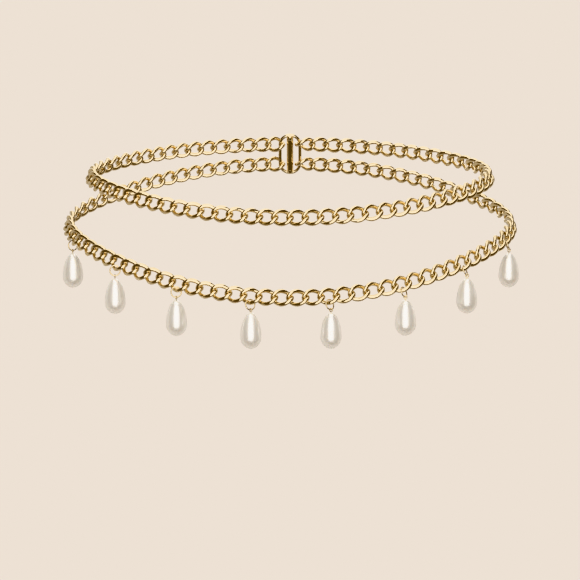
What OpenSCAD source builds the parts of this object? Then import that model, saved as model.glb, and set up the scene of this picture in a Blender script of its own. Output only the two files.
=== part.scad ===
// Waist chain: two strands of twisted curb links on one closure. The upper strand is
// plain, and the lower one hangs deeper and carries teardrop drops on jump rings.
// The origin is the middle of the waist opening, level with the upper strand's sides.
// +Z is up, and the front of the belt faces -Y.

/* [Upper strand] */
// Half of the upper loop's width
upper_half_w = 131.5; // [120:0.5:145]
// Depth of the upper loop in front of the middle
upper_front_d = 90; // [80:0.5:100]
// Share by which the upper loop is drawn in on its diagonals
upper_draw_in = 0.02; // [0:0.005:0.05]
// Height of the upper strand at the front
upper_front_z = -20; // [-28:0.5:-12]
// Height of the upper strand at the sides, which is the waist line
upper_side_z = 0; // [-6:0.5:4]

/* [Lower strand] */
// Half of the lower loop's width
lower_half_w = 146.5; // [138:0.5:160]
// Depth of the lower loop in front of the middle
lower_front_d = 108; // [98:0.5:118]
// Share by which the lower loop is drawn in on its diagonals
lower_draw_in = 0.04; // [0:0.005:0.06]
// Height of the lower strand at the front
lower_front_z = -68.5; // [-80:0.5:-60]
// Height of the lower strand at the sides
lower_side_z = -32; // [-40:0.5:-26]

/* [Links] */
// Spacing of the links along a strand, before it is evened out
link_pitch = 9.75; // [9:0.05:11]
// Outer height of a link
link_h = 11.2; // [10.6:0.1:12]
// Thickness of a link's wire where it hooks into the next link
link_wire = 2.5; // [2:0.05:2.6]
// Thickness of that wire at the middle of its top and bottom
link_swell = 2.75; // [2.6:0.05:2.8]
// Twist of each end of a link out of its middle plane, in degrees
link_twist = 44; // [43:1:50]
// Room between two links where they hook into each other
link_gap = 0.2; // [0.15:0.05:0.4]
// Lean of the strands with the widening body, in degrees
body_lean = 20; // [10:1:25]

/* [Drops] */
// Widest diameter of a pearl
pearl_w = 13.5; // [10:0.1:15]
// Height of a pearl
pearl_h = 22.9; // [18:0.1:26]
// Outer diameter of a jump ring
ring_d = 7.4; // [7:0.1:8.5]
// Wire of a jump ring
ring_wire = 0.85; // [0.6:0.05:1]
// Outer diameter of the eye above a pearl
eye_d = 2.7; // [2.5:0.1:3.4]
// Wire of the eye and its shank
eye_wire = 0.6; // [0.5:0.05:0.7]
// Depth of the shank's hole in a pearl
bore_depth = 12; // [6:0.5:15]
// Room between a drop's pieces
drop_gap = 0.15; // [0.12:0.01:0.2]
// Room between a jump ring and the link above it
ring_gap = 0.3; // [0.25:0.01:0.4]

/* [Closure] */
// Depth of the closure behind the middle
back_d = 96; // [88:0.5:106]
// Height of the closure at the back
back_z = 7; // [2:0.5:12]
// Distance between the two strands where they meet the clasp
strand_gap = 15; // [14:0.5:18]
// Outer width of the clasp, along the strands
clasp_w = 16; // [15:0.5:22]
// Wire of the clasp's frame
clasp_wire = 2.2; // [1.8:0.1:2.4]
// Diameter of the barrel in the middle of the clasp
barrel_d = 4.6; // [3.5:0.1:5]

/* [Hidden] */
DROPS = 8;

GOLD = [0.80, 0.62, 0.27];
PEARL = [0.93, 0.89, 0.82];

// Links on each side before the first drop, and from one drop to the next
first_drop_link = 2;
drop_every = 5;
// Turn of a jump ring and of an eye from the strand's own direction, in degrees
ring_turn = 36;
eye_turn = -36;
// The pearl's outline: the share of its height down to its widest ring, how much its
// sides straighten above that (2 is an ellipse), and the angles of its profile
pearl_low = 0.66;
pearl_taper = 1.85;
PEARL_ANGLES = [for (a = [10 : 8 : 170]) a];
// How sharply a link's wire swells towards the middle of its top and bottom
SWELL_POWER = 8;
// Corners along a link and round its wire, and round the exact rings
LINK_SIDES = 10;
WIRE_SIDES = 5;
ROUND = 48;
// Step in degrees of the table that turns a length along a strand into an angle
TABLE_STEP = 1;
// How far to each side the two points lie that give a line's direction, in mm or degrees
NEAR = 1;
// How far a cutting shape runs past the face that it opens
OVERRUN = 1;

// A strand's sizes in one list
HALF_W = 0;
FRONT_D = 1;
BACK_D = 2;
DRAW_IN = 3;
FRONT_Z = 4;
SIDE_Z = 5;
BACK_Z = 6;
half_gap_up = strand_gap / 2 * cos(body_lean);
half_gap_in = strand_gap / 2 * sin(body_lean);
upper = [upper_half_w, upper_front_d, back_d - half_gap_in, upper_draw_in,
    upper_front_z, upper_side_z, back_z + half_gap_up];
lower = [lower_half_w, lower_front_d, back_d + half_gap_in, lower_draw_in,
    lower_front_z, lower_side_z, back_z - half_gap_up];

function unit(v) = v / norm(v);

// A height that starts level at one end and reaches the other with a given slope
function ease(from, to, slope, u) =
    from + (3 * (to - from) - slope) * u ^ 2 + (slope - 2 * (to - from)) * u ^ 3;

// Height along a strand through its front, side and back heights, from 0 to 180 degrees
function height_at(strand, a) =
    let (slope = (strand[BACK_Z] - strand[FRONT_Z]) / 2)
    a < 90 ? ease(strand[FRONT_Z], strand[SIDE_Z], slope, a / 90)
           : ease(strand[BACK_Z], strand[SIDE_Z], -slope, (180 - a) / 90);

// A point of a strand's middle line. Angles run from the front, and the left is negative
function route_point(strand, a) =
    let (depth = abs(a) < 90 ? strand[FRONT_D] : strand[BACK_D],
         draw = 1 - strand[DRAW_IN] * sin(2 * a) ^ 2)
    [strand[HALF_W] * sin(a) * draw, -depth * cos(a) * draw, height_at(strand, abs(a))];

// Pairs of the length from the front centre and the angle reached there
function length_table(strand) =
    [for (a = 0, run = 0; a <= 180;
          run = run + norm(route_point(strand, a + TABLE_STEP) - route_point(strand, a)),
          a = a + TABLE_STEP) [run, a]];

upper_table = length_table(upper);
lower_table = length_table(lower);

function half_length(table) = table[len(table) - 1][0];

function point_at(strand, table, s) =
    route_point(strand, sign(s) * lookup(abs(s), table));

// Place, direction, upward width and outward face of a strand at a length from the front
function frame_from(before, middle, after) =
    let (along = unit(after - before),
         out = unit([along.y, -along.x, 0]) * cos(body_lean) + [0, 0, sin(body_lean)],
         up = unit(cross(out, along)))
    [middle, along, up, cross(along, up)];

function frame_at(strand, table, s) =
    frame_from(point_at(strand, table, s - NEAR), point_at(strand, table, s),
        point_at(strand, table, s + NEAR));

// The closure's frame, and the last hooking point of each strand from its middle
closure_at = [0, back_d, back_z];
closure = frame_from(closure_at + [NEAR, 0, 0], closure_at, closure_at - [NEAR, 0, 0]);
end_reach = clasp_w / 2 - clasp_wire - link_gap / 2;
clasp_h = strand_gap + link_h + 2 * clasp_wire;

// Links on each side of a strand, and their evened spacing
function links_per_side(table) = round((half_length(table) - end_reach) / link_pitch);
function even_pitch(table) = (half_length(table) - end_reach) / links_per_side(table);

// Half length and half height of a link's middle line at a spacing
function link_a(pitch) = (pitch + link_wire + link_gap) / 2;
link_b = (link_h - link_swell) / 2;

// Thickness of a link's wire at an angle round the link. It swells close to the middle
// of the top and bottom, and leaves the hooks slim
function wire_at(q) = link_wire + (link_swell - link_wire) * sin(q) ^ SWELL_POWER;

// Turn of a link's plane at an angle round it. The end of a strand's last link, at +1 or
// -1, is turned on until it stands square to the clasp's upright wire
function turn_at(q, last) =
    let (spare = (90 - link_twist) / 2)
    -(link_twist + abs(last) * spare) * cos(q) - last * spare;

// A point of a link's middle line, along, up and out of the strand
function link_line(pitch, q, last) =
    let (long = link_a(pitch) / cos(180 / LINK_SIDES), turn = turn_at(q, last))
    [long * cos(q), link_b * sin(q) * cos(turn), link_b * sin(q) * sin(turn)];

// The corners of a link, ring by ring round its middle line, with flat ends
function link_points(pitch, last) =
    [for (i = [0 : LINK_SIDES - 1])
        let (q = 360 * (i + 0.5) / LINK_SIDES,
             c = link_line(pitch, q, last),
             before = link_line(pitch, q - NEAR, last),
             after = link_line(pitch, q + NEAR, last),
             along = unit(after - before),
             out = unit(c - (c * along) * along),
             side = cross(along, out))
        for (j = [0 : WIRE_SIDES - 1])
            let (b = 360 * j / WIRE_SIDES)
            c + wire_at(q) / 2 * (cos(b) * out + sin(b) * side)];

// The triangles of a link whose first corner has a given number
function link_faces(first) =
    [for (i = [0 : LINK_SIDES - 1]) for (j = [0 : WIRE_SIDES - 1])
        let (next_i = (i + 1) % LINK_SIDES,
             next_j = (j + 1) % WIRE_SIDES,
             a = first + i * WIRE_SIDES + j,
             b = first + i * WIRE_SIDES + next_j,
             c = first + next_i * WIRE_SIDES + next_j,
             d = first + next_i * WIRE_SIDES + j)
        each [[a, c, b], [a, d, c]]];

function moved(frame, v) = frame[0] + v.x * frame[1] + v.y * frame[2] + v.z * frame[3];

// A strand: every link of both sides, each hooked into the next
module chain(strand, table) {
    count = links_per_side(table);
    pitch = even_pitch(table);
    points = [for (k = [-count : count - 1])
        let (frame = frame_at(strand, table, (k + 0.5) * pitch),
             last = k == -count ? -1 : k == count - 1 ? 1 : 0)
        for (v = link_points(pitch, last)) moved(frame, v)];
    faces = [for (k = [0 : 2 * count - 1]) each link_faces(k * LINK_SIDES * WIRE_SIDES)];
    polyhedron(points, faces);
}

// Puts a shape whose X, Y and Z lie along, up and out into a frame
module put(frame) {
    multmatrix([for (r = [0 : 2]) [frame[1][r], frame[2][r], frame[3][r], frame[0][r]]])
        children();
}

// A closed loop of round wire, long in X, lying in the XY plane
module wire_loop(length, width, wire) {
    bend = (width - wire) / 2;
    straight = length - width;
    for (end = [-1, 1]) {
        translate([end * straight / 2, 0, 0])
            rotate([0, 0, -90 * end])
                rotate_extrude(angle = 180, $fn = ROUND)
                    translate([bend, 0]) circle(d = wire, $fn = ROUND);
        translate([-straight / 2, end * bend, 0])
            rotate([0, 90, 0]) cylinder(d = wire, h = straight, $fn = ROUND);
    }
}

// One plain closed piece that all four ends of the strands hook into
module clasp() {
    color(GOLD)
        put(closure)
            rotate([0, 0, 90]) {
                wire_loop(clasp_h, clasp_w, clasp_wire);
                rotate([0, 90, 0])
                    cylinder(d = barrel_d, h = clasp_h - clasp_wire, center = true, $fn = ROUND);
            }
}

// The link that carries a drop, counted from the left end of the row
function drop_link(i) =
    let (side = i <= DROPS / 2 ? -1 : 1,
         step = side < 0 ? DROPS / 2 - i : i - DROPS / 2 - 1)
    side * (first_drop_link + step * drop_every + 0.5);

function drop_frame(i) =
    frame_at(lower, lower_table, drop_link(i) * even_pitch(lower_table));

ring_r = (ring_d - ring_wire) / 2;
eye_r = (eye_d - eye_wire) / 2;

// From the middle of the link's wire down to the middle of its jump ring
ring_drop = ring_r - (link_swell + ring_wire) / 2 - ring_gap;
// Heights of the eye's middle and the pearl's top over the lowest point of the ring's wire
eye_z = (ring_wire + eye_wire) / 2 + drop_gap - eye_r;
pearl_top_z = eye_z - eye_d / 2 - drop_gap;

// The lowest point of a jump ring's middle line
function ring_low(i) =
    let (frame = drop_frame(i),
         face = sin(ring_turn) * frame[1] + cos(ring_turn) * frame[3],
         down = unit(face.z * face - [0, 0, 1]))
    moved(frame, [0, -link_b - ring_drop, 0]) + ring_r * down;

module ring(r, wire) {
    rotate_extrude($fn = ROUND) translate([r, 0]) circle(d = wire, $fn = ROUND);
}

module jump_ring(i) {
    color(GOLD)
        put(drop_frame(i))
            translate([0, -link_b - ring_drop, 0])
                rotate([0, ring_turn, 0]) ring(ring_r, ring_wire);
}

// The eye and the pearl below it hang plumb
module eye_pin(i) {
    along = drop_frame(i)[1];
    shank_top = eye_z - eye_r;
    shank_foot = pearl_top_z - bore_depth + drop_gap;
    color(GOLD)
        translate(ring_low(i))
            rotate([0, 0, atan2(along.y, along.x) + eye_turn]) {
                translate([0, 0, eye_z]) rotate([90, 0, 0]) ring(eye_r, eye_wire);
                translate([0, 0, shank_foot])
                    cylinder(d = eye_wire, h = shank_top - shank_foot, $fn = ROUND);
            }
}

// Radius of a ring of a pearl at an angle from its top, as a share of the widest radius
function pearl_bulge(a) = a < 90 ? sqrt(1 - cos(a) ^ pearl_taper) : sin(a);

// Depth of that ring under the top, as a share of the pearl's height
function pearl_depth(a) = pearl_low - (a < 90 ? pearl_low : 1 - pearl_low) * cos(a);

module pearl(i) {
    profile = [for (a = PEARL_ANGLES)
        [pearl_w / 2 * pearl_bulge(a), -pearl_h * pearl_depth(a)]];
    color(PEARL) translate(ring_low(i) + [0, 0, pearl_top_z])
        difference() {
            rotate_extrude($fn = ROUND) polygon(concat([[0, 0]], profile, [[0, -pearl_h]]));
            translate([0, 0, -bore_depth])
                cylinder(d = eye_wire + 2 * drop_gap, h = bore_depth + OVERRUN, $fn = ROUND);
        }
}

color(GOLD) chain(upper, upper_table);  // upper_chain
color(GOLD) chain(lower, lower_table);  // lower_chain
clasp();
for (i = [1 : DROPS]) {
    jump_ring(i);
    eye_pin(i);
    pearl(i);
}
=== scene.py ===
# %% [markdown]
# # A waist chain in two strands
#
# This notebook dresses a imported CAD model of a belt: two strands of twisted curb links
# that meet on one clasp, with eight teardrop pearls on jump rings under the lower strand.
# The CAD solids keep their places and sizes. Here each one gets the smooth form and the
# finish of the real piece, and every place is read from the solids themselves.

# %% Load the frame
import math
import random

import bpy
import numpy as np
from mathutils import Matrix, Vector


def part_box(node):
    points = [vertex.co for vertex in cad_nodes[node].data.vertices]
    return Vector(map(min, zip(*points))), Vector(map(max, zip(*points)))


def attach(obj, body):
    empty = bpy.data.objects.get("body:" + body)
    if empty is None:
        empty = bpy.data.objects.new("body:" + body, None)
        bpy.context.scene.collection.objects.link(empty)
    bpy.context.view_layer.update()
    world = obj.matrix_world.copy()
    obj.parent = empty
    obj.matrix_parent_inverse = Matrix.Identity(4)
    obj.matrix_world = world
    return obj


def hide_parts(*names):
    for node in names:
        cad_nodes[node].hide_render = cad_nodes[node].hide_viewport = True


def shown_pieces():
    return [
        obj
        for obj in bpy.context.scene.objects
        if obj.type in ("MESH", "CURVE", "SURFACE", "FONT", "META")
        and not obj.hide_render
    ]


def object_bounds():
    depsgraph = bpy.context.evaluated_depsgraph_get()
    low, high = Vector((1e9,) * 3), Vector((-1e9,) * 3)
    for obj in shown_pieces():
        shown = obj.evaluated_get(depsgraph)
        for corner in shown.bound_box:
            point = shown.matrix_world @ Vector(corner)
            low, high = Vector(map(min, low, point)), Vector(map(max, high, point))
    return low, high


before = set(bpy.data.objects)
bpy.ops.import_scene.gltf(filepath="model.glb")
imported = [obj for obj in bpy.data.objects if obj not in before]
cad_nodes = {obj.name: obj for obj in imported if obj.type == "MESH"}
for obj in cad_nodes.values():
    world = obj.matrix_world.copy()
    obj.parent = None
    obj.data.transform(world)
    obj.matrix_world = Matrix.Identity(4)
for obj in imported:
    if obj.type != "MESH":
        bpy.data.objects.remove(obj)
cad_low, cad_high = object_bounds()
print("CAD box in mm:", [round(1000 * (b - a), 1) for a, b in zip(cad_low, cad_high)])

# %% [markdown]
# ## Working with operators
#
# Every modelling step below is an operator that one could also click in the window. An
# operator acts on whatever is selected, so two helpers keep the selection honest: one
# picks objects, and one names what an operator has just added.

# %% Helpers for the selection
def pick(*objects):
    """Selects these objects and nothing else, and makes the first one active."""
    bpy.ops.object.select_all(action="DESELECT")
    for each in objects:
        each.select_set(True)
    bpy.context.view_layer.objects.active = objects[0]


def named(name):
    """Gives the active object and its data a name."""
    made = bpy.context.active_object
    made.name = made.data.name = name
    return made


# %% Helpers for modifiers and places
def apply_all(piece):
    """Applies every modifier of a piece, in order."""
    pick(piece)
    for modifier in list(piece.modifiers):
        bpy.ops.object.modifier_apply(modifier=modifier.name)


def placed_copy(model, name, place):
    """A copy of a model with its own mesh, moved into its place in that mesh."""
    piece = model.copy()
    piece.data = model.data.copy()
    piece.name = piece.data.name = name
    bpy.context.scene.collection.objects.link(piece)
    piece.data.transform(place)
    return piece


def joined(pieces, name):
    """Joins pieces into the first one, under a new name."""
    pick(*pieces)
    bpy.ops.object.join()
    return named(name)


print("helpers ready; meshes in the frame:", len(cad_nodes))

# %% [markdown]
# ## The camera
#
# The belt was photographed from the front, a little from above, with a long lens. Three
# numbers describe that: the distance, the height angle, and how wide a strip the picture
# takes in at the belt's middle. The lens follows from them by similar triangles.

# %% The camera at the photo's angle
CAMERA_DISTANCE = 1.75
CAMERA_RISE = math.radians(7)
PICTURE_WIDTH = 0.3857
SENSOR_WIDTH = 36
look_at = Vector((0, 0, -0.0768))

towards_camera = Vector((0, -math.cos(CAMERA_RISE), math.sin(CAMERA_RISE)))
bpy.ops.object.camera_add(location=look_at + CAMERA_DISTANCE * towards_camera)
camera = named("photo_camera")
camera.rotation_euler = (-towards_camera).to_track_quat("-Z", "Y").to_euler()
camera.data.sensor_width = SENSOR_WIDTH
camera.data.lens = SENSOR_WIDTH * CAMERA_DISTANCE / PICTURE_WIDTH
bpy.context.scene.camera = camera
print("lens in mm:", round(camera.data.lens, 1))

# %% [markdown]
# ## Where the links go
#
# The CAD solid of a strand is a crowd of loose links. Separating a copy of it by loose
# parts gives one small mesh for each, whose middle is the link's middle and whose longest
# direction is the way the strand runs there. So the smooth links can't drift from the
# solids. The strands lean outwards at the bottom, as a belt that is worn low does.

# %% Read a strand's places from its CAD solid
LEAN = math.radians(20)
MERGE = 1e-6


def loose_parts(node):
    """The loose solids of a CAD node, each as (its middle, its longest direction)."""
    whole = cad_nodes[node].copy()
    whole.data = whole.data.copy()
    bpy.context.scene.collection.objects.link(whole)
    pick(whole)
    bpy.ops.object.mode_set(mode="EDIT")
    bpy.ops.mesh.select_all(action="SELECT")
    bpy.ops.mesh.remove_doubles(threshold=MERGE)
    bpy.ops.mesh.separate(type="LOOSE")
    bpy.ops.object.mode_set(mode="OBJECT")
    found = []
    for part in bpy.context.selected_objects:
        corners = np.array([v.co for v in part.data.vertices])
        middle = corners.mean(axis=0)
        directions = np.linalg.svd(corners - middle)[2]
        found.append((Vector(middle), Vector(directions[0])))
    bpy.ops.object.delete()
    return found


def leaning_place(middle, along):
    """The matrix that lays X along a strand, Y up its leaning side and Z outwards."""
    if along.x * -middle.y + along.y * middle.x < 0:
        along = -along
    level = Vector((along.y, -along.x, 0)).normalized()
    outwards = level * math.cos(LEAN) + Vector((0, 0, math.sin(LEAN)))
    up = outwards.cross(along).normalized()
    turn = Matrix((along, up, along.cross(up))).transposed()
    return Matrix.Translation(middle) @ turn.to_4x4()


def strand_places(node):
    """The places of a strand's links, in order round the waist from the clasp."""
    ordered = sorted(loose_parts(node), key=lambda p: math.atan2(p[0].x, -p[0].y))
    return [leaning_place(middle, along) for middle, along in ordered]


def spacing(places):
    """The usual distance from one link's middle to the next."""
    middles = [place.translation for place in places]
    return float(np.median([(b - a).length for a, b in zip(middles, middles[1:])]))


places = {node: strand_places(node) for node in ("upper_chain", "lower_chain")}
for node in places:
    print(node, len(places[node]), "links,", round(1000 * spacing(places[node]), 2), "mm apart")

# %% [markdown]
# ## One curb link
#
# A curb link is a ring of round wire, drawn out to an oval and then twisted, so that the
# chain lies flat although its links cross. The model is made the same way: a circle of
# points is scaled to the oval, twisted by a Simple Deform modifier, and only then given
# its wire, by turning it into a curve with a round bevel. Twisting the line before the
# wire is drawn keeps the wire round everywhere, as it is on the real link. Where the links
# hook into each other they are worn slim, so each curve point gets a radius of its own,
# which is larger at the middle of the top and bottom. The solid link has only ten corners
# and a slightly larger twist, which turns its outermost ones about as far as here.

# %% Sizes of the links
LINK_HEIGHT = 0.0112
LINK_WIRE = 0.0025
LINK_SWELL = 0.00275
SWELL_POWER = 8
HOOK_GAP = 0.0002
LINK_TWIST = math.radians(42)
LINK_STATIONS = 40
LINK_DETAIL = 4
print("a link's inside is", round(1000 * (LINK_HEIGHT - 2 * LINK_SWELL), 2), "mm high")


# %% Draw the middle line, twist it and give it its wire
def swell_wire(line, swell):
    """Thickens a curve's wire by a share towards its highest and lowest points."""
    for spline in line.data.splines:
        tallest = max(abs(point.co.y) for point in spline.points)
        for point in spline.points:
            point.radius = 1 + swell * (point.co.y / tallest) ** SWELL_POWER


def wire_from_line(line, wire, detail, swell=0):
    """Turns a line of edges into a round wire of that thickness, with 4 + 2 * detail sides."""
    pick(line)
    bpy.ops.object.convert(target="CURVE")
    line.data.bevel_depth = wire / 2
    swell_wire(line, swell)
    line.data.bevel_resolution = detail
    line.data.use_fill_caps = True
    bpy.ops.object.convert(target="MESH")
    bpy.ops.object.shade_smooth()
    return bpy.context.active_object


def curb_link(name, pitch, twist):
    """A link lying along X, upright in Y, its ends turned by a twist to each side."""
    half_length = (pitch + LINK_WIRE + HOOK_GAP) / 2
    half_height = (LINK_HEIGHT - LINK_SWELL) / 2
    bpy.ops.mesh.primitive_circle_add(vertices=LINK_STATIONS, radius=1)
    line = named(name)
    bpy.ops.object.mode_set(mode="EDIT")
    bpy.ops.mesh.select_all(action="SELECT")
    bpy.ops.transform.resize(value=(half_length, half_height, 1))
    bpy.ops.object.mode_set(mode="OBJECT")
    twister = line.modifiers.new("twist", "SIMPLE_DEFORM")
    twister.deform_method = "TWIST"
    twister.deform_axis = "X"
    twister.angle = -2 * twist
    apply_all(line)
    return wire_from_line(line, LINK_WIRE, LINK_DETAIL, LINK_SWELL / LINK_WIRE - 1)


# %% [markdown]
# ## The two strands
#
# A link that hangs from others never sits quite like its neighbour, so each one is rolled
# about its strand by up to a degree. The last link at each end is twisted further, until
# it crosses the clasp's upright wire squarely. All links of a strand become one piece.

# %% Copy the links along the strands
SQUARE = math.radians(90)
LINK_ROLL = math.radians(1)
chance = random.Random(5)


def finished(piece, node):
    """Stands a finished piece for its CAD node: hides the solid and hangs the piece under the
    root body.
    """
    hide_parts(node)
    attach(piece, "root")
    return piece


def strand(name, node):
    """Links one strand together."""
    pitch = spacing(places[node])
    plain = curb_link("plain_link", pitch, LINK_TWIST)
    last = curb_link("last_link", pitch, (LINK_TWIST + SQUARE) / 2)
    links = []
    for number, place in enumerate(places[node]):
        end = {0: -1, len(places[node]) - 1: 1}.get(number, 0)
        roll = -end * (SQUARE - LINK_TWIST) / 2 + chance.uniform(-LINK_ROLL, LINK_ROLL)
        turn = Matrix.Rotation(roll, 4, "X")
        links.append(placed_copy(last if end else plain, f"{name}_{number}", place @ turn))
    for model in (plain, last):
        bpy.data.objects.remove(model)
    return finished(joined(links, name), node)


upper_strand = strand("upper_strand", "upper_chain")
lower_strand = strand("lower_strand", "lower_chain")
print("faces:", len(upper_strand.data.polygons), len(lower_strand.data.polygons))

# %% [markdown]
# ## Round pieces and how they face
#
# A jump ring and an eye lie in a plane, so their corners spread least in the direction
# that the plane faces. That direction and the middle of the box are all that is needed to
# lay a new ring over the solid one.

# %% Read where a flat piece faces
DROPS = range(1, 9)


def facing(node, keep=lambda corner: True):
    """The direction in which a node's corners spread least, over those that are kept."""
    corners = np.array([v.co for v in cad_nodes[node].data.vertices if keep(v.co)])
    directions = np.linalg.svd(corners - corners.mean(axis=0))[2]
    return Vector(directions[-1])


def middle_of(node):
    """The middle of a node's box."""
    low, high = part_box(node)
    return (low + high) / 2


def facing_place(middle, face, up):
    """The matrix that turns Z to a facing direction, with Y as near to up as it can be."""
    across = up.cross(face).normalized()
    turn = Matrix((across, face.cross(across), face)).transposed()
    return Matrix.Translation(middle) @ turn.to_4x4()


print("ring 1 faces", [round(x, 2) for x in facing("jump_ring_1")])

# %% [markdown]
# ## The jump rings
#
# A jump ring is a turn of fine wire whose two ends meet in a butt, so it can be opened
# with pliers. It is a circle with one edge taken out, wired in the same way as the links,
# and the cut lies a little to one side of the top, where a jeweller leaves it.

# %% Make the jump rings
RING_DIAMETER = 0.0074
RING_WIRE = 0.00085
RING_STATIONS = 64
RING_DETAIL = 3
CUT_ANGLE = math.radians(60)
CUT_GAP = 0.00006


def open_ring(name, diameter, wire, gap, stations=RING_STATIONS):
    """A ring of wire in the XY plane with a small cut at its +X side."""
    radius = (diameter - wire) / 2
    bpy.ops.mesh.primitive_circle_add(vertices=stations, radius=radius)
    line = named(name)
    bpy.ops.object.mode_set(mode="EDIT")
    bpy.ops.mesh.select_all(action="SELECT")
    bpy.ops.mesh.bisect(plane_co=(0, gap / 2, 0), plane_no=(0, 1, 0), clear_inner=False)
    bpy.ops.mesh.select_all(action="SELECT")
    bpy.ops.mesh.bisect(plane_co=(0, -gap / 2, 0), plane_no=(0, 1, 0), clear_inner=False)
    bpy.ops.mesh.select_all(action="DESELECT")
    bpy.ops.object.mode_set(mode="OBJECT")
    for edge in line.data.edges:
        ends = [line.data.vertices[i].co for i in edge.vertices]
        middle = (ends[0] + ends[1]) / 2
        edge.select = abs(middle.y) < gap / 2 and middle.x > 0
    bpy.ops.object.mode_set(mode="EDIT")
    bpy.ops.mesh.delete(type="EDGE")
    bpy.ops.object.mode_set(mode="OBJECT")
    return wire_from_line(line, wire, RING_DETAIL)


ring_model = open_ring("ring_model", RING_DIAMETER, RING_WIRE, CUT_GAP)
turn_to_cut = Matrix.Rotation(CUT_ANGLE, 4, "Z")
for i in DROPS:
    face = facing(f"jump_ring_{i}")
    if face.y > 0:
        face = -face
    place = facing_place(middle_of(f"jump_ring_{i}"), face, Vector((0, 0, 1)))
    ring = placed_copy(ring_model, f"drop_ring_{i}", place @ turn_to_cut)
    finished(ring, f"jump_ring_{i}")
print("a jump ring has", len(ring_model.data.polygons), "faces")
bpy.data.objects.remove(ring_model)

# %% [markdown]
# ## The eye pins
#
# Each pearl hangs by a fine pin that is glued into its drilled hole and bent to an eye at
# the top. The eye is wired like the ring, and its cut lies at the bottom, where the wire
# comes back to the shank. The shank is a plain cylinder. As with the rings, the direction
# in which the solid eye's corners spread least says which way it is turned.

# %% Make the eye pins
EYE_DIAMETER = 0.0027
EYE_WIRE = 0.0006
EYE_CUT = EYE_WIRE / 20
EYE_STATIONS = 40
SHANK_SIDES = 16
SHARP_ANGLE = math.radians(50)


def pin_model(foot, eye_middle):
    """An eye pin on the Z axis, from its shank's foot up to its eye."""
    eye = open_ring("eye", EYE_DIAMETER, EYE_WIRE, EYE_CUT, EYE_STATIONS)
    eye.data.transform(Matrix.Translation((0, 0, eye_middle)) @ facing_place(
        Vector(), Vector((0, -1, 0)), Vector((0, 0, 1))) @ Matrix.Rotation(-SQUARE, 4, "Z"))
    eye_foot = eye_middle - (EYE_DIAMETER - EYE_WIRE) / 2
    bpy.ops.mesh.primitive_cylinder_add(vertices=SHANK_SIDES, radius=EYE_WIRE / 2,
                                        depth=eye_foot - foot,
                                        location=(0, 0, (eye_foot + foot) / 2))
    shank = named("shank")
    bpy.ops.object.transform_apply(location=True)
    bpy.ops.object.shade_smooth_by_angle(angle=SHARP_ANGLE)
    return joined([eye, shank], "pin_model")


for i in DROPS:
    low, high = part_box(f"eye_pin_{i}")
    axis = (low + high) / 2
    face = facing(f"eye_pin_{i}", lambda corner: corner.z > high.z - EYE_DIAMETER)
    model = pin_model(low.z, high.z - EYE_DIAMETER / 2)
    heading = math.atan2(face.x, -face.y)
    place = Matrix.Translation((axis.x, axis.y, 0)) @ Matrix.Rotation(heading, 4, "Z")
    model.data.transform(place)
    model.name = model.data.name = f"drop_pin_{i}"
    finished(model, f"eye_pin_{i}")
print("the last eye pin is", round(1000 * (high.z - low.z), 1), "mm long")

# %% [markdown]
# ## The pearls
#
# A faux pearl is a moulded drop with a pearly coat. Its outline is two curves that meet at
# the widest ring, two thirds of the way down: half an ellipse below, and above it a taller
# one with slightly straightened sides. The drop is built as a potter pulls up a pot: a
# small disc at the bottom is extruded upwards ring by ring, each ring scaled to the
# outline's width, and the last rings turn in and go down into the drilled hole. A small
# nub under the foot is what the mould leaves.

# %% Pull up a pearl ring by ring
WIDEST_SHARE = 0.66
SIDE_TAPER = 1.85
RING_STEP = 5
PEARL_SIDES = 64
HOLE_DIAMETER = 0.0009
HOLE_DEPTH = 0.012
NUB_RADIUS = 0.00055
NUB_HEIGHT = 0.0002
NUB_FLAT = 0.7


def outline_ring(width, height, angle):
    """Radius and height above the foot of a pearl's ring at an angle from its top."""
    cosine = math.cos(math.radians(angle))
    if angle < 90:
        return (width / 2 * math.sqrt(1 - cosine ** SIDE_TAPER),
                height * (1 - WIDEST_SHARE * (1 - cosine)))
    return (width / 2 * math.sin(math.radians(angle)),
            height * (1 - WIDEST_SHARE) * (1 + cosine))


def outline_rings(width, height):
    """The rings of a pearl, from the nub under its foot up to its top and down its hole."""
    rings = [(NUB_RADIUS * NUB_FLAT, -NUB_HEIGHT), (NUB_RADIUS, -NUB_HEIGHT * NUB_FLAT),
             (NUB_RADIUS, 0)]
    rings += [outline_ring(width, height, angle)
              for angle in range(180 - RING_STEP, RING_STEP, -RING_STEP)]
    return rings + [(HOLE_DIAMETER / 2, height), (HOLE_DIAMETER / 2, height - HOLE_DEPTH)]


def pull_up(name, rings, sides):
    """A closed solid of revolution, extruded ring by ring from a small disc."""
    radius, level = rings[0]
    bpy.ops.mesh.primitive_circle_add(vertices=sides, radius=radius, fill_type="NGON",
                                      location=(0, 0, level))
    piece = named(name)
    bpy.ops.object.transform_apply(location=True)
    bpy.ops.object.mode_set(mode="EDIT")
    bpy.ops.mesh.select_all(action="SELECT")
    for next_radius, next_level in rings[1:]:
        bpy.ops.mesh.extrude_region_move(
            TRANSFORM_OT_translate={"value": (0, 0, next_level - level)})
        share = next_radius / radius
        bpy.ops.transform.resize(value=(share, share, 1), center_override=(0, 0, next_level))
        radius, level = next_radius, next_level
    bpy.ops.mesh.select_all(action="SELECT")
    bpy.ops.mesh.normals_make_consistent(inside=False)
    bpy.ops.object.mode_set(mode="OBJECT")
    bpy.ops.object.shade_smooth_by_angle(angle=SHARP_ANGLE)
    return piece


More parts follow.
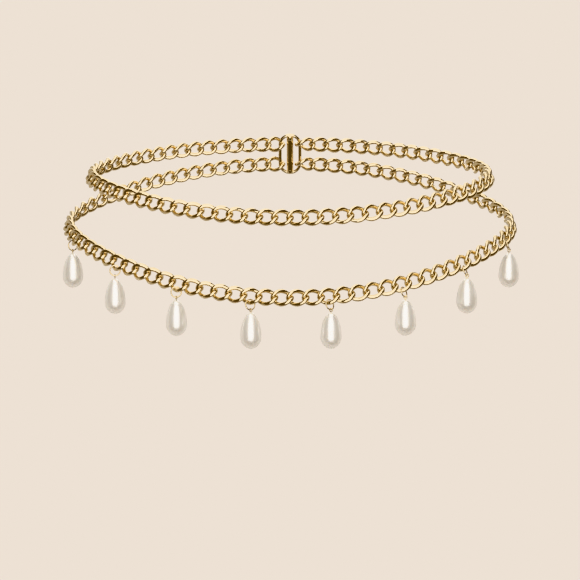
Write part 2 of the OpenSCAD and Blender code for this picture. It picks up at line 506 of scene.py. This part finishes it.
# %% Hang a pearl on every pin
low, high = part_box("pearl_1")
rings = outline_rings(high.x - low.x, high.z - low.z)
pearl_model = pull_up("pearl_model", rings, PEARL_SIDES)
for i in DROPS:
    low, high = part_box(f"pearl_{i}")
    foot = Vector(((low.x + high.x) / 2, (low.y + high.y) / 2, low.z))
    pearl = placed_copy(pearl_model, f"drop_pearl_{i}", Matrix.Translation(foot))
    finished(pearl, f"pearl_{i}")
print("a pearl has", len(pearl_model.data.polygons), "faces")
bpy.data.objects.remove(pearl_model)

# %% [markdown]
# ## The clasp
#
# Nothing shows of the closure in the photo, so it is one plain closed piece: a long loop
# of wire with a barrel down its middle, which all four ends of the strands hook into. The
# loop is a circle whose two halves are pulled apart. Before each pull everything is
# deselected in edit mode, because an edge that stays selected takes its points along. The
# barrel is pulled up like a pearl, with rounded ends and a groove near each.

# %% Draw the clasp's loop
CLASP_WIRE = 0.0022
CLASP_WIDTH = 0.016
CLASP_HEIGHT = 0.0306
CLASP_STATIONS = 64
CLASP_DETAIL = 6


def move_half(line, side, distance):
    """Moves the points on one side of the X axis along Y, and no others."""
    bpy.ops.object.mode_set(mode="EDIT")
    bpy.ops.mesh.select_mode(type="VERT")
    bpy.ops.mesh.select_all(action="DESELECT")
    bpy.ops.object.mode_set(mode="OBJECT")
    for point in line.data.vertices:
        point.select = point.co.y * side > MERGE
    bpy.ops.object.mode_set(mode="EDIT")
    bpy.ops.transform.translate(value=(0, side * distance, 0))
    bpy.ops.object.mode_set(mode="OBJECT")


bpy.ops.mesh.primitive_circle_add(vertices=CLASP_STATIONS,
                                  radius=(CLASP_WIDTH - CLASP_WIRE) / 2)
loop = named("clasp_loop")
for side in (-1, 1):
    move_half(loop, side, (CLASP_HEIGHT - CLASP_WIDTH) / 2)
loop = wire_from_line(loop, CLASP_WIRE, CLASP_DETAIL)
print("the loop is", round(1000 * loop.dimensions.y, 1), "mm high")

# %% Add its barrel
BARREL_DIAMETER = 0.0046
BARREL_SIDES = 48
GROOVE_DEPTH = 0.0002
GROOVE_WIDTH = 0.0005
GROOVE_FROM_END = 0.0024
GROOVE_SLOPE = 0.3
ROUNDING = 0.0005
ROUNDING_BEND = 0.3


def barrel_rings(radius, half):
    """Rings of a barrel with rounded ends, from one end to the other."""
    bend = ROUNDING * ROUNDING_BEND
    slope = GROOVE_WIDTH * GROOVE_SLOPE
    groove = -half + GROOVE_FROM_END
    lower = [(radius - ROUNDING, -half), (radius - bend, -half + bend),
             (radius, -half + ROUNDING),
             (radius, groove), (radius - GROOVE_DEPTH, groove + slope),
             (radius - GROOVE_DEPTH, groove + GROOVE_WIDTH - slope),
             (radius, groove + GROOVE_WIDTH)]
    return lower + [(r, -level) for r, level in reversed(lower)]


rings = barrel_rings(BARREL_DIAMETER / 2, (CLASP_HEIGHT - CLASP_WIRE) / 2)
barrel = pull_up("clasp_barrel", rings, BARREL_SIDES)
barrel.data.transform(Matrix.Rotation(-SQUARE, 4, "X"))
clasp = joined([loop, barrel], "back_clasp")
clasp.data.transform(leaning_place(middle_of("clasp"), Vector((-1, 0, 0))))
finished(clasp, "clasp")
print("clasp has", len(clasp.data.polygons), "faces")

# %% [markdown]
# ## Marks of use
#
# Polished metal and a pearl coat have one thing in common: seen close, neither is perfectly
# even. A node group makes that unevenness once, as a roughness that wanders and a normal
# that ripples, and each material asks it for its own amount.

# %% Helpers for nodes
def socket(tree, name, kind, way, value=None):
    """Adds a named input or output to a node group."""
    made = tree.interface.new_socket(name=name, in_out=way, socket_type=kind)
    if value is not None:
        made.default_value = value


def node(tree, kind, **values):
    """Adds a node, with its properties set by name."""
    made = tree.nodes.new(kind)
    for name, value in values.items():
        setattr(made, name, value)
    return made


print("node helpers ready")

# %% A node group for polish
polish = bpy.data.node_groups.new("polish", "ShaderNodeTree")
socket(polish, "Vector", "NodeSocketVector", "INPUT")
socket(polish, "Scale", "NodeSocketFloat", "INPUT", 800)
socket(polish, "Smoothest", "NodeSocketFloat", "INPUT", 0.1)
socket(polish, "Roughest", "NodeSocketFloat", "INPUT", 0.3)
socket(polish, "Ripple", "NodeSocketFloat", "INPUT", 0.1)
socket(polish, "Roughness", "NodeSocketFloat", "OUTPUT")
socket(polish, "Normal", "NodeSocketVector", "OUTPUT")
group_in = node(polish, "NodeGroupInput")
group_out = node(polish, "NodeGroupOutput")
print("polish takes", [item.name for item in polish.interface.items_tree
                       if item.in_out == "INPUT"])

# %% Fill the group
mottle = node(polish, "ShaderNodeTexNoise")
mottle.inputs["Detail"].default_value = 4
spread = node(polish, "ShaderNodeMapRange")
ripple = node(polish, "ShaderNodeBump")
ripple.inputs["Distance"].default_value = 0.0001
link = polish.links.new
link(group_in.outputs["Vector"], mottle.inputs["Vector"])
link(group_in.outputs["Scale"], mottle.inputs["Scale"])
link(mottle.outputs["Fac"], spread.inputs["Value"])
link(group_in.outputs["Smoothest"], spread.inputs["To Min"])
link(group_in.outputs["Roughest"], spread.inputs["To Max"])
link(mottle.outputs["Fac"], ripple.inputs["Height"])
link(group_in.outputs["Ripple"], ripple.inputs["Strength"])
link(spread.outputs["Result"], group_out.inputs["Roughness"])
link(ripple.outputs["Normal"], group_out.inputs["Normal"])
print("polish group has", len(polish.nodes), "nodes")


# %% Helpers for materials
def new_material(name):
    """A node material with its Principled shader and its object coordinates."""
    made = bpy.data.materials.new(name)
    made.use_nodes = True
    shader = made.node_tree.nodes["Principled BSDF"]
    coordinates = node(made.node_tree, "ShaderNodeTexCoord")
    return made, shader, coordinates.outputs["Object"]


def add_polish(material, shader, vector, **amounts):
    """Places the polish group and links it to the shader."""
    tree = material.node_tree
    placed = node(tree, "ShaderNodeGroup", node_tree=polish)
    for name, value in amounts.items():
        placed.inputs[name].default_value = value
    tree.links.new(vector, placed.inputs["Vector"])
    tree.links.new(placed.outputs["Roughness"], shader.inputs["Roughness"])
    tree.links.new(placed.outputs["Normal"], shader.inputs["Normal"])


def colour_ramp(tree, factor, colours):
    """A ramp over a factor, from (position, colour) pairs. Returns its colour output."""
    ramp = node(tree, "ShaderNodeValToRGB")
    tree.links.new(factor, ramp.inputs["Fac"])
    stops = ramp.color_ramp.elements
    for position, _ in colours[1:-1]:
        stops.new(position)
    for (position, colour), stop in zip(colours, stops):
        stop.position, stop.color = position, (*colour, 1)
    return ramp.outputs["Color"]


print("material helpers ready")

# %% [markdown]
# ## Gold plate
#
# Polished metal has no colour of its own, only a tint on what it mirrors. So the base is a
# pale warm yellow that wanders very little, the roughness stays low, and the contrast
# between the bright faces and the dark crossings is left to the studio below.

# %% Make the gold
gold, shader, where = new_material("gold_plate")
tree = gold.node_tree
shader.inputs["Metallic"].default_value = 1
tone = node(tree, "ShaderNodeTexNoise")
tone.inputs["Scale"].default_value = 120
tree.links.new(where, tone.inputs["Vector"])
plate = colour_ramp(tree, tone.outputs["Fac"],
                    [(0.3, (0.74, 0.60, 0.36)), (0.7, (0.82, 0.685, 0.44))])
tree.links.new(plate, shader.inputs["Base Color"])
add_polish(gold, shader, where, Scale=900, Smoothest=0.05, Roughest=0.13, Ripple=0.05)
print("gold plate has", len(tree.nodes), "nodes")

# %% [markdown]
# ## Pearl coat
#
# A faux pearl is a pale plastic drop under many thin coats. The body scatters a little
# light, the coat gives one wide soft highlight instead of a sharp one, and a sheen
# brightens the rim, where a real coat is seen at its thickest. The coat's high index makes
# the highlight strong although the coat is rough, and the body's own gloss is rougher
# still, so the highlight fades softly into the cream.

# %% Make the pearl
pearl_coat, shader, where = new_material("pearl_coat")
tree = pearl_coat.node_tree
cloud = node(tree, "ShaderNodeTexNoise")
cloud.inputs["Scale"].default_value = 90
tree.links.new(where, cloud.inputs["Vector"])
cream = colour_ramp(tree, cloud.outputs["Fac"],
                    [(0.3, (0.83, 0.81, 0.74)), (0.7, (0.91, 0.885, 0.815))])
tree.links.new(cream, shader.inputs["Base Color"])
shader.inputs["IOR"].default_value = 2.6
shader.inputs["Coat Weight"].default_value = 1
shader.inputs["Coat IOR"].default_value = 3.9
shader.inputs["Coat Roughness"].default_value = 0.26
shader.inputs["Sheen Weight"].default_value = 0.5
shader.inputs["Sheen Roughness"].default_value = 0.35
shader.inputs["Sheen Tint"].default_value = (1, 0.90, 0.80, 1)
shader.inputs["Subsurface Weight"].default_value = 0.15
shader.inputs["Subsurface Radius"].default_value = (1, 0.8, 0.6)
shader.inputs["Subsurface Scale"].default_value = 0.001
add_polish(pearl_coat, shader, where, Scale=400, Smoothest=0.36, Roughest=0.44, Ripple=0.02)
print("pearl coat has", len(tree.nodes), "nodes")

# %% Give every piece its finish
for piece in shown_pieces():
    piece.data.materials.clear()
    piece.data.materials.append(pearl_coat if piece.name.startswith("drop_pearl") else gold)
print("pieces in pearl coat:", pearl_coat.users, "and in gold plate:", gold.users)

# %% [markdown]
# ## The studio
#
# The photo has a pale cream ground, one large soft light near the camera and another from
# above. The lights are made for mirrors only, and a wide sun does the rest, so the gold
# and the pearls can be balanced apart. What the metal mirrors otherwise is a dark room in
# front and a cream wall behind, which leans with the belt and stands a little to the left.
# The floor is far below.

# %% Floor and backdrop
FLOOR_DROP = 0.9
FLOOR_SIZE = 400
CREAM = (0.84, 0.78, 0.72, 1)
bpy.ops.mesh.primitive_plane_add(size=FLOOR_SIZE, location=(0, 0, cad_low.z - FLOOR_DROP))
floor = named("studio_floor")
pale, shader, _ = new_material("pale_floor")
shader.inputs["Base Color"].default_value = CREAM
shader.inputs["Roughness"].default_value = 1
shader.inputs["Specular IOR Level"].default_value = 0
floor.data.materials.append(pale)
floor.visible_glossy = False
print("the floor lies at", round(cad_low.z - FLOOR_DROP, 2), "m")


# %% Soft light
def softbox(name, azimuth, rise, distance, size, brightness):
    """A rectangular soft light that faces the belt. Azimuth 0 is the camera's side."""
    a, e = math.radians(azimuth), math.radians(rise)
    way = Vector((math.sin(a) * math.cos(e), -math.cos(a) * math.cos(e), math.sin(e)))
    bpy.ops.object.light_add(type="AREA", location=look_at + distance * way)
    light = named(name)
    light.rotation_euler = way.to_track_quat("Z", "Y").to_euler()
    light.data.shape = "RECTANGLE"
    light.data.size, light.data.size_y = size
    light.data.energy = brightness * math.pi * size[0] * size[1]
    light.visible_camera = False
    light.visible_diffuse = False


softbox("front_light", azimuth=0, rise=15, distance=1.3, size=(1.15, 2.3), brightness=2.9)
softbox("top_light", azimuth=180, rise=84, distance=1.2, size=(1.2, 1.5), brightness=2.3)
softbox("back_light", azimuth=180, rise=20, distance=1.5, size=(1.0, 1.0), brightness=1.4)
print("soft lights:", [each.name for each in bpy.data.lights])

# %% A wide sun
SUN_RISE = math.radians(50)
bpy.ops.object.light_add(type="SUN", rotation=(SQUARE - SUN_RISE, 0, 0))
sun = named("sky_light")
sun.data.energy = 1.85
sun.data.angle = math.radians(60)
sun.visible_glossy = False
print("the sun stands", round(math.degrees(SUN_RISE)), "degrees high")

# %% The room round the belt
WALL_TURN = 0.1
world = bpy.data.worlds.new("studio")
bpy.context.scene.world = world
world.use_nodes = True
tree = world.node_tree
paper = tree.nodes["Background"]
paper.inputs["Color"].default_value = CREAM
paper.inputs["Strength"].default_value = 0.815
way = node(tree, "ShaderNodeVectorMath", operation="DOT_PRODUCT")
way.inputs[1].default_value = (-WALL_TURN, math.cos(LEAN), -math.sin(LEAN))
tree.links.new(node(tree, "ShaderNodeTexCoord").outputs["Generated"], way.inputs[0])
behind = node(tree, "ShaderNodeMapRange")
behind.inputs["From Min"].default_value = -0.1
behind.inputs["From Max"].default_value = 0.5
tree.links.new(way.outputs["Value"], behind.inputs["Value"])
mirrored = colour_ramp(tree, behind.outputs["Result"], [
    (0, (0.11, 0.072, 0.035)), (0.55, (0.52, 0.45, 0.38)), (1, (0.60, 0.55, 0.49))])
room = node(tree, "ShaderNodeBackground")
tree.links.new(mirrored, room.inputs["Color"])
rays = node(tree, "ShaderNodeLightPath")
either = node(tree, "ShaderNodeMixShader")
tree.links.new(rays.outputs["Is Glossy Ray"], either.inputs["Fac"])
tree.links.new(paper.outputs["Background"], either.inputs[1])
tree.links.new(room.outputs["Background"], either.inputs[2])
tree.links.new(either.outputs["Shader"], tree.nodes["World Output"].inputs["Surface"])
bpy.context.scene.view_settings.view_transform = "Khronos PBR Neutral"
print("the room has", len(tree.nodes), "nodes")
